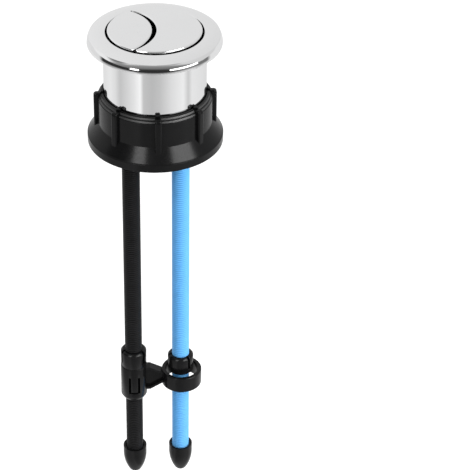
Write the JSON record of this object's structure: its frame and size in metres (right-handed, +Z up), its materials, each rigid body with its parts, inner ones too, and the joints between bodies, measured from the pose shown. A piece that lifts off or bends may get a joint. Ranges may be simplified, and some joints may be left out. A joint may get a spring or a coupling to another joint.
{
  "type": "push button cistern actuator",
  "caption": "Dual flush push button for a cistern lid: round chrome bezel with a split button, ribbed black lock nut, and threaded push rods held apart by a clip-on spacer.",
  "frame": {"origin": "on the barrel's axis, in the plane where the bezel seats on the cistern lid", "axes": "+Z up out of the lid along the barrel, +X towards the full flush rod, -Y towards the front"},
  "size_m": [0.0596, 0.0596, 0.2448],
  "materials": {
    "chrome": "polished",
    "black_plastic": "satin",
    "black_rod": "satin",
    "blue_rod": "satin",
    "inner_plastic": "satin",
    "steel": "polished"
  },
  "bodies": {
    "housing": {"bezel": "chrome", "guide_insert": "inner_plastic", "insert_screws": "steel", "half_flush_spring": "steel", "full_flush_spring": "steel"},
    "half_flush": {"half_flush_button": "chrome", "half_flush_plunger": "inner_plastic"},
    "full_flush": {"full_flush_button": "chrome", "full_flush_plunger": "inner_plastic"},
    "half_rod": {"half_flush_rod": "black_rod", "half_flush_rod_collar": "black_plastic", "rod_spacer": "black_plastic", "half_flush_rod_cap": "black_plastic"},
    "full_rod": {"full_flush_rod": "blue_rod", "full_flush_rod_collar": "black_plastic", "full_flush_rod_cap": "black_plastic"},
    "nut": {"lock_nut": "black_plastic"}
  },
  "joints": [
    {"name": "half_flush_press", "type": "slide", "parent": "housing", "child": "half_flush", "axis": [0, 0, -1], "range_m": [0, 0.007], "stiffness_N_per_m": 400, "springref_m": -0.006, "deforming": ["half_flush_spring"]},
    {"name": "full_flush_press", "type": "slide", "parent": "housing", "child": "full_flush", "axis": [0, 0, -1], "range_m": [0, 0.007], "stiffness_N_per_m": 400, "springref_m": -0.006, "deforming": ["full_flush_spring"]},
    {"name": "half_rod_adjust", "type": "slide", "parent": "half_flush", "child": "half_rod", "axis": [0, 0, 1], "range_m": [0, 0.025]},
    {"name": "full_rod_adjust", "type": "slide", "parent": "full_flush", "child": "full_rod", "axis": [0, 0, 1], "range_m": [0, 0.025]},
    {"name": "nut_height", "type": "slide", "parent": "housing", "child": "nut", "axis": [0, 0, 1], "range_m": [-0.003, 0.013]}
  ]
}
